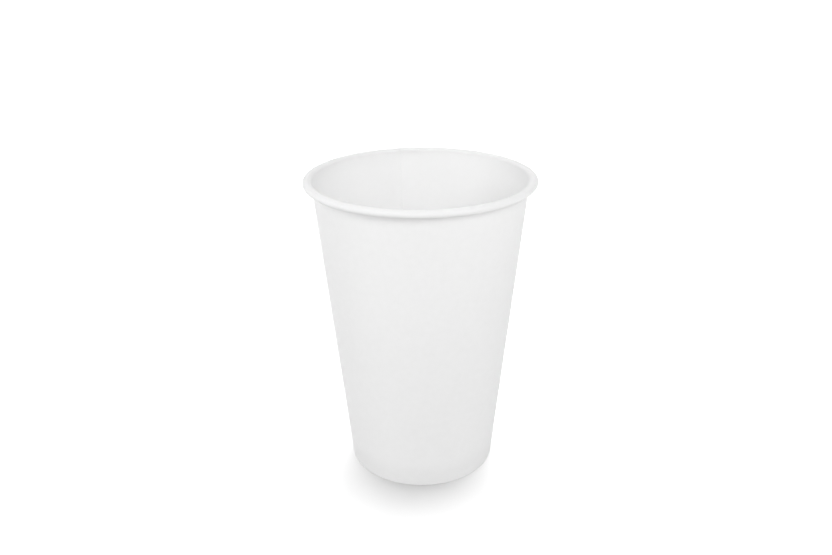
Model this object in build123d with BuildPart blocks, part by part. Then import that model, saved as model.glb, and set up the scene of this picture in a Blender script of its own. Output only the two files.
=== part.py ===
from build123d import *
from math import asin, atan2, cos, degrees, hypot, radians, sin, sqrt, tan
import os

# A single-wall paper cup, standing on its foot. Z is the cup's axis and z = 0 is the floor.
# Two blanks of board make it: the side wall, which is rolled, lapped, curled at the top and folded
# at the foot, and the base, a disc whose edge is turned down into a skirt that the foot clamps.

# Overall sizes, in millimetres
cup_height = 122.0
rim_diameter = 90.0
foot_diameter = 60.0

# Board
wall_board = 0.35
base_board = 0.3
seal_gap = 0.02

# Rolled rim: an oval spiral, with its outside sizes over the board
curl_width = 3.6
curl_height = 2.85
curl_side_radius = 1.05
curl_wrap_gap = 0.08

# Foot fold and base, which are both creased sharply
flap_height = 6.5
recess_depth = 8.0
skirt_end_gap = 0.1

# Lapped side seam
seam_angle = 101.5
lap_width = 8.0
ramp_width = 1.6
inner_step = 0.2
strip_tuck = 0.3
rim_lap_rise = 0.15

os.makedirs("parts", exist_ok=True)

# The rim's oval, on the middle of the board: round sides joined by flatter top and bottom arcs
half_width = (curl_width - wall_board) / 2
half_height = (curl_height - wall_board) / 2
side_offset = half_width - curl_side_radius
curl_top_radius = (side_offset**2 + half_height**2 - curl_side_radius**2) / (2 * (half_height - curl_side_radius))
join_angle = degrees(atan2(curl_top_radius - half_height, side_offset))
curl_centre_radius = rim_diameter / 2 - wall_board / 2 - half_width
curl_centre_height = cup_height - wall_board / 2 - half_height
side_centre_radius = curl_centre_radius - side_offset

# The second wrap lies one board and a gap inside the first, so the bottom arc joins the outer
# side arc to a smaller inner one
wrap_pitch = wall_board + curl_wrap_gap
inner_side_radius = curl_side_radius - wrap_pitch
side_spacing = 2 * side_offset
to_outer_side = curl_top_radius - curl_side_radius
to_inner_side = curl_top_radius - inner_side_radius
bottom_centre_in = (to_inner_side**2 - to_outer_side**2 + side_spacing**2) / (2 * side_spacing)
bottom_centre_up = sqrt(to_inner_side**2 - bottom_centre_in**2)
outer_join_angle = degrees(atan2(bottom_centre_up, side_spacing - bottom_centre_in))
inner_join_angle = degrees(atan2(bottom_centre_up, bottom_centre_in))

# The wall's outer face runs straight from the foot's edge to the rim's inner side arc
foot_radius = foot_diameter / 2
slant_run = side_centre_radius - foot_radius
slant_length = hypot(slant_run, curl_centre_height)
slant_offset = asin((curl_side_radius - wall_board / 2) / slant_length)
taper = degrees(atan2(slant_run, curl_centre_height) - slant_offset)
taper_cos = cos(radians(taper))
taper_sin = sin(radians(taper))
taper_tan = tan(radians(taper))


def slant_radius(height, depth):
    """Radius at a height of the cone that lies a depth of board inside the wall's outer face."""
    return foot_radius + height * taper_tan - depth / taper_cos


def polar(radius, angle):
    """A point of a plan sketch, by its radius and its angle from the seam in degrees."""
    return (radius * cos(radians(angle)), radius * sin(radians(angle)))


def upright_plane(angle):
    """The upright plane through the cup's axis at an angle from the seam, with its own Y along +Z."""
    turn = radians(seam_angle + angle)
    return Plane(origin=(0, 0, 0), x_dir=(cos(turn), sin(turn), 0), z_dir=(sin(turn), -cos(turn), 0))


def board_face(start, heading, moves, shift):
    """Draws one face of a board, shifted to the left of the board's middle line.

    A move is (length, 0) for a straight run or (radius, turn) for an arc, with left turns positive.
    A face on the inside of a crease has no arc left there and turns sharply.
    """
    side = radians(heading + 90)
    first = Vector(*start) + Vector(cos(side), sin(side)) * shift
    point = first
    for size, turn in moves:
        radius = size - shift if turn > 0 else size + shift
        if turn == 0:
            point = PolarLine(point, size, heading) @ 1
        elif radius > 0:
            point = JernArc(point, polar(1, heading), radius, turn) @ 1
        heading += turn
    return first, point


# The side wall's middle line, from where the wall meets the foot fold
fold_radius = wall_board / 2
fold_start_height = wall_board / 2 + fold_radius * (1 - taper_sin)
fold_start = (slant_radius(fold_start_height, wall_board / 2), fold_start_height)
fold_span = wall_board + base_board + 2 * seal_gap
fold_flat = (fold_span - 2 * fold_radius) / taper_cos
flap_start_height = wall_board / 2 + fold_radius * (1 + taper_sin)
wall_end_height = curl_centre_height + curl_side_radius * taper_sin
fold_moves = [
    (fold_radius, taper - 90),
    (fold_flat, 0),
    (fold_radius, -90 - taper),
    ((flap_height - flap_start_height) / taper_cos, 0),
]
wall_end = (slant_radius(wall_end_height, wall_board / 2), wall_end_height)
wall_moves = [((wall_end_height - fold_start_height) / taper_cos, 0)]
bead_moves = [
    (curl_side_radius, taper - join_angle),
    (curl_top_radius, 2 * join_angle - 180),
    (curl_side_radius, -join_angle - outer_join_angle),
]
tuck_moves = [
    (curl_top_radius, outer_join_angle + inner_join_angle - 180),
    (inner_side_radius, -inner_join_angle - join_angle),
]

# The seam's plan at a height: a strip of board outside the wall that ramps down to it past the inner cut
# edge, and the groove that the same ramp leaves inside. Both reach past the face that they meet.
strip_step = wall_board / taper_cos
strip_root = wall_board / 2
groove_lip = 0.1
strip_bottom = wall_board / 2 + fold_radius
strip_top = cup_height - curl_height + strip_tuck
groove_bottom = recess_depth
seam_direction = polar(1, seam_angle)
rim_lap_turn = degrees(lap_width / (rim_diameter / 2))


def plan_plane(height):
    """The level plane at a height, with its own X towards the inner cut edge of the seam."""
    return Plane(origin=(0, 0, height), x_dir=(*seam_direction, 0), z_dir=(0, 0, 1))


def arc_turn(width, height):
    """Angle in degrees that a width takes round the wall at a height."""
    return degrees(width / slant_radius(height, 0))


with BuildPart() as side_wall:
    # One section of board, from the flap's edge round the fold, up the wall and round the curl
    with BuildSketch(Plane.XZ):
        with BuildLine():
            for heading, moves in (
                (270 - taper, fold_moves),
                (90 - taper, wall_moves + bead_moves + tuck_moves),
            ):
                left_face = board_face(fold_start, heading, moves, wall_board / 2)
                right_face = board_face(fold_start, heading, moves, -wall_board / 2)
                Line(left_face[1], right_face[1])
        make_face()
    revolve(axis=Axis.Z)

    # The rim over the lap holds two boards, so its bead stands a little higher and further out there
    with BuildSketch(upright_plane(-rim_lap_turn)):
        with BuildLine():
            raised_start = Vector(*wall_end) + Vector(rim_lap_rise, rim_lap_rise)
            middle = board_face(wall_end, 90 - taper, bead_moves, 0)
            raised = board_face(raised_start, 90 - taper, bead_moves, wall_board / 2)
            Line(middle[0], raised[0])
            Line(middle[1], raised[1])
        make_face()
    revolve(axis=Axis.Z, revolution_arc=rim_lap_turn)

    # The outer layer of the lap, with its square cut edge on one side and its ramp on the other
    for height in (strip_bottom, strip_top):
        outside = slant_radius(height, 0) + strip_step
        root = slant_radius(height, strip_root)
        cut_edge = -arc_turn(lap_width, height)
        ramp_end = arc_turn(ramp_width, height) * (1 + strip_root / wall_board)
        with BuildSketch(plan_plane(height)):
            with BuildLine():
                Line(polar(root, cut_edge), polar(outside, cut_edge))
                CenterArc((0, 0), outside, cut_edge, -cut_edge)
                Line(polar(outside, 0), polar(root, ramp_end))
                CenterArc((0, 0), root, cut_edge, ramp_end - cut_edge)
            make_face()
    loft(ruled=True)

    # Inside, the outer layer ramps in past the inner cut edge and leaves that edge standing as a step
    for height in (groove_bottom, cup_height):
        inside = slant_radius(height, wall_board)
        lip = inside - groove_lip
        ramp_end = arc_turn(ramp_width, height) * (1 + groove_lip / inner_step)
        with BuildSketch(plan_plane(height)):
            with BuildLine():
                Polyline(polar(lip, 0), polar(inside + inner_step, 0), polar(lip, ramp_end), close=True)
            make_face()
    loft(ruled=True, mode=Mode.SUBTRACT)

# The base's middle line runs along the foot's wall, one seal gap inside it
base_bend_radius = base_board / 2
base_level = recess_depth + base_board / 2
bend_level = base_level - base_bend_radius
skirt_depth = wall_board + seal_gap + base_board / 2
disc_run = slant_radius(bend_level, skirt_depth) - base_bend_radius / taper_cos
skirt_end = wall_board + skirt_end_gap
skirt_run = (bend_level - base_bend_radius * taper_sin - skirt_end) / taper_cos
base_moves = [(disc_run, 0), (base_bend_radius, -90 - taper), (skirt_run, 0)]

with BuildPart() as base:
    # A flat disc with a skirt turned down round its edge
    with BuildSketch(Plane.XZ):
        with BuildLine():
            top_face = board_face((0, base_level), 0, base_moves, base_board / 2)
            under_face = board_face((0, base_level), 0, base_moves, -base_board / 2)
            Line(top_face[0], under_face[0])
            Line(top_face[1], under_face[1])
        make_face()
    revolve(axis=Axis.Z)

side_wall.part.label = "side_wall"
base.part.label = "base"
export_step(side_wall.part, "parts/side_wall.step")
export_step(base.part, "parts/base.step")
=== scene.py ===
from math import asin, atan2, cos, degrees, hypot, pi, radians, sin, sqrt, tan

import bpy
from mathutils import Matrix, Vector


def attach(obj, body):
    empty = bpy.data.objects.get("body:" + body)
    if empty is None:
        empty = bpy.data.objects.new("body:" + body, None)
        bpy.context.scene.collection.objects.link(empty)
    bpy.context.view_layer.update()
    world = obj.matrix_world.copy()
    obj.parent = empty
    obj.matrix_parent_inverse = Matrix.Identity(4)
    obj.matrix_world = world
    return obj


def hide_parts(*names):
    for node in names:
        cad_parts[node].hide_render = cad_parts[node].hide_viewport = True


# A plain white paper cup on a white floor, seen from above its rim as in a product photograph.
# Lengths are written in millimetres and become metres where a mesh or a material is made. The lamps and the
# camera are placed in metres.
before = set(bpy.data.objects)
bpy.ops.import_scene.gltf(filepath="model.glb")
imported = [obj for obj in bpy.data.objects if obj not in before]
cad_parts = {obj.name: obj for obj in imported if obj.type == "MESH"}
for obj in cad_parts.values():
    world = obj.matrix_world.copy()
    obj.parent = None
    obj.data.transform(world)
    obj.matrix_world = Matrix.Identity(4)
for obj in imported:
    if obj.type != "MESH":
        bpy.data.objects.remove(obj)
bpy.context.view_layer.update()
MM = 0.001

# The cup's sizes, as in the CAD model. Only the two creases are a little softer than there.
CUP_HEIGHT = 122.0
RIM_DIAMETER = 90.0
FOOT_DIAMETER = 60.0
WALL_BOARD = 0.35
BASE_BOARD = 0.3
SEAL_GAP = 0.02
CURL_WIDTH = 3.6
CURL_HEIGHT = 2.85
CURL_SIDE_RADIUS = 1.05
CURL_WRAP_GAP = 0.08
FOLD_RADIUS = 0.2
FLAP_HEIGHT = 6.5
RECESS_DEPTH = 8.0
BASE_BEND_RADIUS = 0.17
SKIRT_END_GAP = 0.1
SEAM_ANGLE = 101.5
LAP_WIDTH = 8.0
RAMP_WIDTH = 1.6
INNER_STEP = 0.2
RIM_LAP_RISE = 0.15

# What real paper adds: the width that a cut edge is drawn over, the length over which the lap runs out above
# the foot and below the rim, the wall's departures from a true round, which begin above the stiff foot and have
# their phases in radians, and the bow of the base with the share of its radius that it takes up
CUT_RUN = 0.03
LAP_RUN_OUT = 0.9
LAP_END_GAP = 0.3
STIFF_HEIGHT = 12.0
OVAL = 0.1
OVAL_PHASE = -0.7
TRIANGLE = 0.05
TRIANGLE_PHASE = 1.9
RIM_WAVE = 0.03
RIM_WAVE_PHASE = 0.4
BASE_BOW = 0.22
BOW_REACH = 0.97

# The rim's oval section and the wall's taper follow from them
half_width = (CURL_WIDTH - WALL_BOARD) / 2
half_height = (CURL_HEIGHT - WALL_BOARD) / 2
side_offset = half_width - CURL_SIDE_RADIUS
oval_square = side_offset**2 + half_height**2 - CURL_SIDE_RADIUS**2
curl_top_radius = oval_square / (2 * (half_height - CURL_SIDE_RADIUS))
join_angle = degrees(atan2(curl_top_radius - half_height, side_offset))
curl_centre_height = CUP_HEIGHT - WALL_BOARD / 2 - half_height
side_centre_radius = RIM_DIAMETER / 2 - WALL_BOARD / 2 - half_width - side_offset
wrap_pitch = WALL_BOARD + CURL_WRAP_GAP
inner_side_radius = CURL_SIDE_RADIUS - wrap_pitch
to_outer_side = curl_top_radius - CURL_SIDE_RADIUS
to_inner_side = curl_top_radius - inner_side_radius
bottom_in = (to_inner_side**2 - to_outer_side**2 + (2 * side_offset) ** 2) / (4 * side_offset)
bottom_up = sqrt(to_inner_side**2 - bottom_in**2)
outer_join_angle = degrees(atan2(bottom_up, 2 * side_offset - bottom_in))
inner_join_angle = degrees(atan2(bottom_up, bottom_in))
slant_run = side_centre_radius - FOOT_DIAMETER / 2
slant_length = hypot(slant_run, curl_centre_height)
slant_offset = asin((CURL_SIDE_RADIUS - WALL_BOARD / 2) / slant_length)
taper = degrees(atan2(slant_run, curl_centre_height) - slant_offset)
taper_cos = cos(radians(taper))
taper_sin = sin(radians(taper))


def slant_radius(height, depth):
    """Radius at a height of the cone that lies a depth of board inside the wall's outer face."""
    return FOOT_DIAMETER / 2 + height * tan(radians(taper)) - depth / taper_cos


def smooth(value, low, high):
    """0 at low, 1 at high and an even S between them. low may be the larger one."""
    t = min(max((value - low) / (high - low), 0.0), 1.0)
    return t * t * (3 - 2 * t)


def walk(start, heading, moves):
    """Points (radius, height, heading) along the middle of a board.

    A move is (length, 0, steps) for a straight run or (radius, turn, steps) for an arc.
    """
    radius, height = start
    points = [(radius, height, heading)]
    for size, turn, steps in moves:
        for _ in range(steps):
            bend = turn / steps
            reach = size / steps if turn == 0 else 2 * size * sin(radians(abs(bend)) / 2)
            radius += reach * cos(radians(heading + bend / 2))
            height += reach * sin(radians(heading + bend / 2))
            heading += bend
            points.append((radius, height, heading))
    return points


# Paper: the noises of its looks, each as features to a metre and detail, with the stretch of the last two
CLOUD = (420.0, 4.0)
SHEEN = (900.0, 3.0)
WAVE = (38.0, 2.0, (1.0, 1.0, 0.5))
FIBRE = (5200.0, 3.0, (1.0, 1.0, 0.35))
ROUGH_SPREAD = 0.04

# The share of light that enters the board, and how far it spreads there in millimetres
SCATTER = 0.5
SCATTER_DEPTH = 1.0


def new_material(name):
    """An empty node material with its tree and its Principled shader."""
    material = bpy.data.materials.new(name)
    material.use_nodes = True
    tree = material.node_tree
    return material, tree, tree.nodes["Principled BSDF"]


def noise(tree, scale, detail, stretch=(1.0, 1.0, 1.0)):
    """A noise texture in the cup's own metres, with that many features to a metre."""
    place = tree.nodes.new("ShaderNodeTexCoord")
    mapping = tree.nodes.new("ShaderNodeMapping")
    mapping.inputs["Scale"].default_value = stretch
    texture = tree.nodes.new("ShaderNodeTexNoise")
    texture.inputs["Scale"].default_value = scale
    texture.inputs["Detail"].default_value = detail
    tree.links.new(place.outputs["Object"], mapping.inputs["Vector"])
    tree.links.new(mapping.outputs["Vector"], texture.inputs["Vector"])
    return texture.outputs["Fac"]


def spread(tree, source, low, high):
    """Maps a noise, which stays near its middle, onto low to high."""
    node = tree.nodes.new("ShaderNodeMapRange")
    node.inputs["From Min"].default_value = 0.3
    node.inputs["From Max"].default_value = 0.7
    node.inputs["To Min"].default_value = low
    node.inputs["To Max"].default_value = high
    tree.links.new(source, node.inputs["Value"])
    return node.outputs["Result"]


def two_tones(tree, factor, first, second):
    """A colour that goes from the first to the second with the factor."""
    node = tree.nodes.new("ShaderNodeMix")
    node.data_type = "RGBA"
    node.inputs["A"].default_value = (*first, 1.0)
    node.inputs["B"].default_value = (*second, 1.0)
    tree.links.new(factor, node.inputs["Factor"])
    return node


def bump(tree, source, height_mm, below=None):
    """A bump that high, on top of another one."""
    node = tree.nodes.new("ShaderNodeBump")
    node.inputs["Strength"].default_value = 1.0
    node.inputs["Distance"].default_value = height_mm * MM
    tree.links.new(source, node.inputs["Height"])
    if below is not None:
        tree.links.new(below, node.inputs["Normal"])
    return node.outputs["Normal"]


def paper(name, light, dark, rough, gloss, wave, fibre):
    """White paperboard: cloudy fibre formation, a fine fibre grain and the soft waves of a rolled blank."""
    material, tree, shader = new_material(name)
    tone = two_tones(tree, spread(tree, noise(tree, *CLOUD), 0.0, 1.0), dark, light)
    tree.links.new(tone.outputs["Result"], shader.inputs["Base Color"])
    sheen = spread(tree, noise(tree, *SHEEN), rough - ROUGH_SPREAD, rough + ROUGH_SPREAD)
    tree.links.new(sheen, shader.inputs["Roughness"])
    waves = bump(tree, noise(tree, *WAVE), wave)
    grain = bump(tree, noise(tree, *FIBRE), fibre, waves)
    tree.links.new(grain, shader.inputs["Normal"])
    shader.inputs["Specular IOR Level"].default_value = gloss
    shader.inputs["Subsurface Weight"].default_value = SCATTER
    shader.inputs["Subsurface Radius"].default_value = (1.0, 1.0, 1.0)
    shader.inputs["Subsurface Scale"].default_value = SCATTER_DEPTH * MM
    return material


# The blank is coated on the face that turns inside, which also shows on the rolled rim
# Tone: partly the coating, partly painted light that makes the inside brighter than the outer wall
coated_face = paper("coated_face", (0.956, 0.956, 0.955), (0.946, 0.946, 0.944), 0.6, 0.1, 0.015, 0.002)
board_face = paper("board_face", (0.88, 0.88, 0.879), (0.865, 0.865, 0.863), 0.7, 0.1, 0.015, 0.004)
# Cut edge: raw fibre's own darker tone, deepened as painted shade that draws the lap's step as a line
cut_edge = paper("cut_edge", (0.76, 0.75, 0.73), (0.66, 0.65, 0.63), 0.75, 0.1, 0.0, 0.02)
COATED, BARE, CUT = range(3)

# The wall board's path: up the inner flap, back down through the foot fold, up the wall, round the curl.
# The wall is divided more finely near the fold and near the curl.
FOLD_STEPS = 6
FINE_LOW = 1.5
FINE_HIGH = 2.4
OUTER_WRAP_STEPS = (7, 12, 14, 8)
INNER_WRAP_STEPS = 8
fold_low = WALL_BOARD / 2 + FOLD_RADIUS * (1 - taper_sin)
fold_start = (slant_radius(fold_low, WALL_BOARD / 2), fold_low)
fold_flat = (WALL_BOARD + BASE_BOARD + 2 * SEAL_GAP - 2 * FOLD_RADIUS) / taper_cos
flap_low = WALL_BOARD / 2 + FOLD_RADIUS * (1 + taper_sin)
fold_path = walk(
    fold_start,
    270 - taper,
    [
        (FOLD_RADIUS, taper - 90, FOLD_STEPS),
        (fold_flat, 0, 1),
        (FOLD_RADIUS, -90 - taper, FOLD_STEPS),
        ((FLAP_HEIGHT - flap_low) / taper_cos, 0, 4),
    ],
)
wall_top = curl_centre_height + CURL_SIDE_RADIUS * taper_sin
wall_middle = (wall_top - fold_low) / taper_cos - FINE_LOW - FINE_HIGH
wall_path = walk(fold_start, 90 - taper, [(FINE_LOW, 0, 6), (wall_middle, 0, 38), (FINE_HIGH, 0, 8)])
bead_path = walk(
    wall_path[-1][:2],
    90 - taper,
    [
        (CURL_SIDE_RADIUS, taper - join_angle, OUTER_WRAP_STEPS[0]),
        (curl_top_radius, 2 * join_angle - 180, OUTER_WRAP_STEPS[1]),
        (CURL_SIDE_RADIUS, -join_angle - outer_join_angle, OUTER_WRAP_STEPS[2]),
        (curl_top_radius, outer_join_angle + inner_join_angle - 180, OUTER_WRAP_STEPS[3]),
        (inner_side_radius, -inner_join_angle - join_angle, INNER_WRAP_STEPS),
    ],
)
path = [(r, z, h + 180) for r, z, h in reversed(fold_path)] + wall_path[1:] + bead_path[1:]
wall_begin = len(fold_path)
bead_begin = wall_begin + len(wall_path) - 1
bead_end = bead_begin + sum(OUTER_WRAP_STEPS)

# Columns round the cup, as an angle from the seam plus a length along the board. The close ones
# stand on both sides of each cut edge and along the ramp.
lap_edge = (0.0, -LAP_WIDTH - CUT_RUN)
seam_lengths = [-LAP_WIDTH, -7.7, -7.0, -6.0, -4.6, -3.2, -1.8, -0.7, -0.2]
seam_lengths += [0.0, CUT_RUN, 0.2, 0.45, 0.7, 0.95, 1.2, 1.4, RAMP_WIDTH, 2.1]
columns = [(0.0, -8.6), lap_edge] + [(0.0, length) for length in seam_lengths]
columns += [(float(angle), 0.0) for angle in range(6, 342)]


def lap_shift(length, index, height):
    """How far the inner and the outer face stand off the plain board at a place near the seam."""
    on_lap = smooth(length, -LAP_WIDTH - CUT_RUN, -LAP_WIDTH) * smooth(length, RAMP_WIDTH, 0.0)
    step = smooth(length, 0.0, CUT_RUN) * smooth(length, RAMP_WIDTH, CUT_RUN)
    off_foot = smooth(height, WALL_BOARD / 2, LAP_RUN_OUT)
    if index < wall_begin:
        outside = index >= wall_begin - FOLD_STEPS
        return 0.0, WALL_BOARD * on_lap * off_foot if outside else 0.0
    if index < bead_begin:
        curl_bottom = CUP_HEIGHT - CURL_HEIGHT
        off_rim = smooth(height, curl_bottom + LAP_RUN_OUT, curl_bottom + LAP_END_GAP)
        off_base = smooth(height, RECESS_DEPTH, RECESS_DEPTH + 1)
        return -INNER_STEP * step * off_base, WALL_BOARD * on_lap * off_foot * off_rim
    # Along the outer wrap, from 0 at the wall to 1: the lap's rise comes in and goes out, the step goes out
    along = (index - bead_begin) / (bead_end - bead_begin)
    rise = RIM_LAP_RISE * on_lap * smooth(along, 0.0, 0.3) * smooth(along, 1.0, 0.85)
    return rise - INNER_STEP * step * smooth(along, 0.45, 0.1), 0.0


def wall_point(column, index, side):
    """A point of the wall's inner (side 1) or outer (side -1) face, a little out of round like real board."""
    radius, height, heading = path[index]
    angle, length = column
    shifts = lap_shift(length, index, height) if angle == 0.0 else (0.0, 0.0)
    off = WALL_BOARD / 2 + shifts[0 if side == 1 else 1]
    radius_here = radius - side * off * sin(radians(heading))
    height_here = height + side * off * cos(radians(heading))
    turn = radians(SEAM_ANGLE + angle) + length / radius
    free = smooth(height_here, STIFF_HEIGHT, CUP_HEIGHT)
    radius_here += free * (OVAL * cos(2 * turn + OVAL_PHASE) + TRIANGLE * cos(3 * turn + TRIANGLE_PHASE))
    height_here += RIM_WAVE * free * cos(2 * turn + RIM_WAVE_PHASE)
    return (radius_here * cos(turn) * MM, radius_here * sin(turn) * MM, height_here * MM)


def show(name, mesh):
    """Puts a mesh in the scene as a piece. Its edges are sharp only where it is creased."""
    mesh.set_sharp_from_angle(angle=radians(50))
    piece = bpy.data.objects.new(name, mesh)
    bpy.context.scene.collection.objects.link(piece)
    return piece


around = [(i, 1) for i in range(len(path))] + [(i, -1) for i in reversed(range(len(path)))]
verts = [wall_point(column, index, side) for column in columns for index, side in around]
size = len(around)
faces = []
finish = []
for c, column in enumerate(columns):
    after = (c + 1) % len(columns)
    for j, (index, side) in enumerate(around):
        i = (j + 1) % size
        faces.append((c * size + j, after * size + j, after * size + i, c * size + i))
        board_end = around[i][1] != side
        lap_end = column == lap_edge and (side == -1 or index >= bead_begin)
        if board_end or lap_end:
            finish.append(CUT)
        else:
            finish.append(COATED if side == 1 else BARE)
mesh = bpy.data.meshes.new("side_wall_board")
mesh.from_pydata(verts, [], faces)
for material in (coated_face, board_face, cut_edge):
    mesh.materials.append(material)
mesh.polygons.foreach_set("material_index", finish)
mesh.polygons.foreach_set("use_smooth", [True] * len(faces))
mesh.update()
side_wall = show("side_wall_board", mesh)
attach(side_wall, "root")
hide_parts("side_wall")

# The base: a disc that bows up a little in the middle, with its skirt turned down round the edge. Its top is
# coated, and so is what lies further out than the skirt's end. Its first two points are the middles of its top
# and its underside.
BASE_COLUMNS = 288
SKIRT_RADIUS = 29.5
base_level = RECESS_DEPTH + BASE_BOARD / 2
bend_level = base_level - BASE_BEND_RADIUS
skirt_depth = WALL_BOARD + SEAL_GAP + BASE_BOARD / 2
disc_run = slant_radius(bend_level, skirt_depth) - BASE_BEND_RADIUS / taper_cos
skirt_run = (bend_level - BASE_BEND_RADIUS * taper_sin - WALL_BOARD - SKIRT_END_GAP) / taper_cos
base_moves = [(disc_run, 0, 24), (BASE_BEND_RADIUS, -90 - taper, 10), (skirt_run, 0, 6)]
base_path = walk((0.0, base_level), 0.0, base_moves)
base_faces = []
for side in (1, -1):
    line = []
    for radius, height, heading in base_path:
        bow = BASE_BOW * smooth(radius, disc_run * BOW_REACH, 0.0)
        off = side * BASE_BOARD / 2
        line.append((radius - off * sin(radians(heading)), height + bow + off * cos(radians(heading))))
    base_faces.append(line)
outline = base_faces[0] + base_faces[1][::-1]
rings = outline[1:-1]
size = len(rings)
verts = [(0.0, 0.0, outline[0][1] * MM), (0.0, 0.0, outline[-1][1] * MM)]
faces = []
for c in range(BASE_COLUMNS):
    turn = 2 * pi * c / BASE_COLUMNS
    verts += [(radius * cos(turn) * MM, radius * sin(turn) * MM, height * MM) for radius, height in rings]
    here = 2 + c * size
    after = 2 + (c + 1) % BASE_COLUMNS * size
    faces.append((0, here, after))
    faces += [(here + j, here + j + 1, after + j + 1, after + j) for j in range(size - 1)]
    faces.append((here + size - 1, 1, after + size - 1))
mesh = bpy.data.meshes.new("base_board_disc")
mesh.from_pydata(verts, [], faces)
mesh.update()
for material in (coated_face, board_face):
    mesh.materials.append(material)
for face in mesh.polygons:
    face.use_smooth = True
    upward = face.normal.z > 0.02
    on_skirt = hypot(face.center.x, face.center.y) > SKIRT_RADIUS * MM
    face.material_index = COATED if upward or on_skirt else BARE
base = show("base_board_disc", mesh)
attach(base, "root")
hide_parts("base")


def backdrop_rays(tree):
    """1 for the rays that see the background: from the camera, in gloss and through glass."""
    rays = tree.nodes.new("ShaderNodeLightPath")
    total = rays.outputs["Is Camera Ray"]
    for name in ("Is Glossy Ray", "Is Transmission Ray"):
        larger = tree.nodes.new("ShaderNodeMath")
        larger.operation = "MAXIMUM"
        tree.links.new(total, larger.inputs[0])
        tree.links.new(rays.outputs[name], larger.inputs[1])
        total = larger.outputs["Value"]
    return total


def glow(tree, to_cup, to_eye):
    """An even light of one strength to the cup and of another to the rays that see the background."""
    node = tree.nodes.new("ShaderNodeMapRange")
    node.inputs["To Min"].default_value = to_cup
    node.inputs["To Max"].default_value = to_eye
    tree.links.new(backdrop_rays(tree), node.inputs["Value"])
    return node.outputs["Result"]


# A floor that is white to the eye and keeps the cup's soft shadow, and to the cup is an even light from below
FLOOR_LIGHT = 0.77
FLOOR_NOISE = (30.0, 2.0)
BLACK = (0.0, 0.0, 0.0)
floor_material, tree, shader = new_material("floor_white")
shader.inputs["Roughness"].default_value = 0.9
shader.inputs["Specular IOR Level"].default_value = 0.0
floor_cloud = spread(tree, noise(tree, *FLOOR_NOISE), 0.0, 1.0)
floor_tone = two_tones(tree, floor_cloud, (0.77, 0.77, 0.77), (0.79, 0.79, 0.79))
floor_seen = two_tones(tree, backdrop_rays(tree), BLACK, BLACK)
tree.links.new(floor_tone.outputs["Result"], floor_seen.inputs["B"])
tree.links.new(floor_seen.outputs["Result"], shader.inputs["Base Color"])
tree.links.new(glow(tree, FLOOR_LIGHT, 0.0), shader.inputs["Emission Strength"])
shader.inputs["Emission Color"].default_value = (1.0, 1.0, 1.0, 1.0)
bpy.ops.mesh.primitive_plane_add(size=8.0)
floor = bpy.context.object
floor.name = "floor"
floor.data.materials.append(floor_material)

# The world is white to the eye and an even soft light to the cup
AMBIENT = 0.4
world = bpy.data.worlds.new("studio")
bpy.context.scene.world = world
world.use_nodes = True
tree = world.node_tree
background = tree.nodes["Background"]
background.inputs["Color"].default_value = (1.0, 1.0, 1.0, 1.0)
tree.links.new(glow(tree, AMBIENT, 1.0), background.inputs["Strength"])

# The point that the lamps face, about halfway up the cup
MIDDLE = Vector((0.0, 0.0, 0.06))


def aim(name, data, azimuth, elevation, distance, *lit):
    """Hangs a lamp that faces the cup and lights only the objects named.

    Azimuth runs from the camera's side towards the right. Objects that a lamp doesn't light still throw
    their shadow on the ones that it does.
    """
    light = bpy.data.objects.new(name, data)
    turn = radians(azimuth)
    lift = radians(elevation)
    direction = Vector((sin(turn) * cos(lift), -cos(turn) * cos(lift), sin(lift)))
    light.location = MIDDLE + direction * distance
    light.rotation_euler = direction.to_track_quat("Z", "Y").to_euler()
    bpy.context.scene.collection.objects.link(light)
    receivers = bpy.data.collections.new(name + "_lights")
    for piece in lit:
        receivers.objects.link(piece)
    light.light_linking.receiver_collection = receivers


# Broad even light on the floor, from round patches of sky: azimuth, elevation, strength
SKY_ANGLE = 60.0
SKY_DISTANCE = 2.0
for name, azimuth, elevation, strength in (
    ("sky_back", 180.0, 70.0, 3.8),
    ("sky_right", 130.0, 60.0, 1.55),
    ("sky_left", -130.0, 60.0, 0.9),
):
    data = bpy.data.lights.new(name, "SUN")
    data.angle = radians(SKY_ANGLE)
    data.energy = strength
    aim(name, data, azimuth, elevation, SKY_DISTANCE, floor)

# Square soft boxes that light the cup: azimuth, elevation, watts
BOX_SIZE = 0.5
BOX_DISTANCE = 1.2
for name, azimuth, elevation, watts in (
    ("front_right", 25.0, 35.0, 5.6),
    ("front_left", -25.0, 35.0, 1.3),
    ("side_left", -65.0, 35.0, 2.05),
    ("low_left", -90.0, 20.0, 2.2),
    ("low_right", 90.0, 20.0, 0.9),
    ("back", 180.0, 35.0, 2.0),
    ("top", 0.0, 85.0, 0.8),
):
    data = bpy.data.lights.new(name, "AREA")
    data.size = BOX_SIZE
    data.energy = watts
    aim(name, data, azimuth, elevation, BOX_DISTANCE, side_wall, base)

# The camera stands where the photograph's was, worked out from the rim, the foot and the wall's outline
PITCH = 0.3987
YAW = -0.0064
ROLL = -0.0087
LENS = 36.09
STAND = (0.0, -0.31036, 0.21002)
forward = Vector((sin(YAW) * cos(PITCH), cos(YAW) * cos(PITCH), -sin(PITCH)))
right = Vector((cos(YAW), -sin(YAW), 0.0))
up = right.cross(forward)
right_rolled = cos(ROLL) * right + sin(ROLL) * up
up_rolled = -sin(ROLL) * right + cos(ROLL) * up
camera_data = bpy.data.cameras.new("camera")
camera_data.sensor_width = 36.0
camera_data.lens = LENS
camera_data.clip_start = 0.01
camera_data.clip_end = 30.0
camera = bpy.data.objects.new("camera", camera_data)
turned = Matrix((right_rolled, up_rolled, -forward)).transposed().to_4x4()
camera.matrix_world = Matrix.Translation(STAND) @ turned
bpy.context.scene.collection.objects.link(camera)
bpy.context.scene.camera = camera
bpy.context.scene.view_settings.view_transform = "Standard"
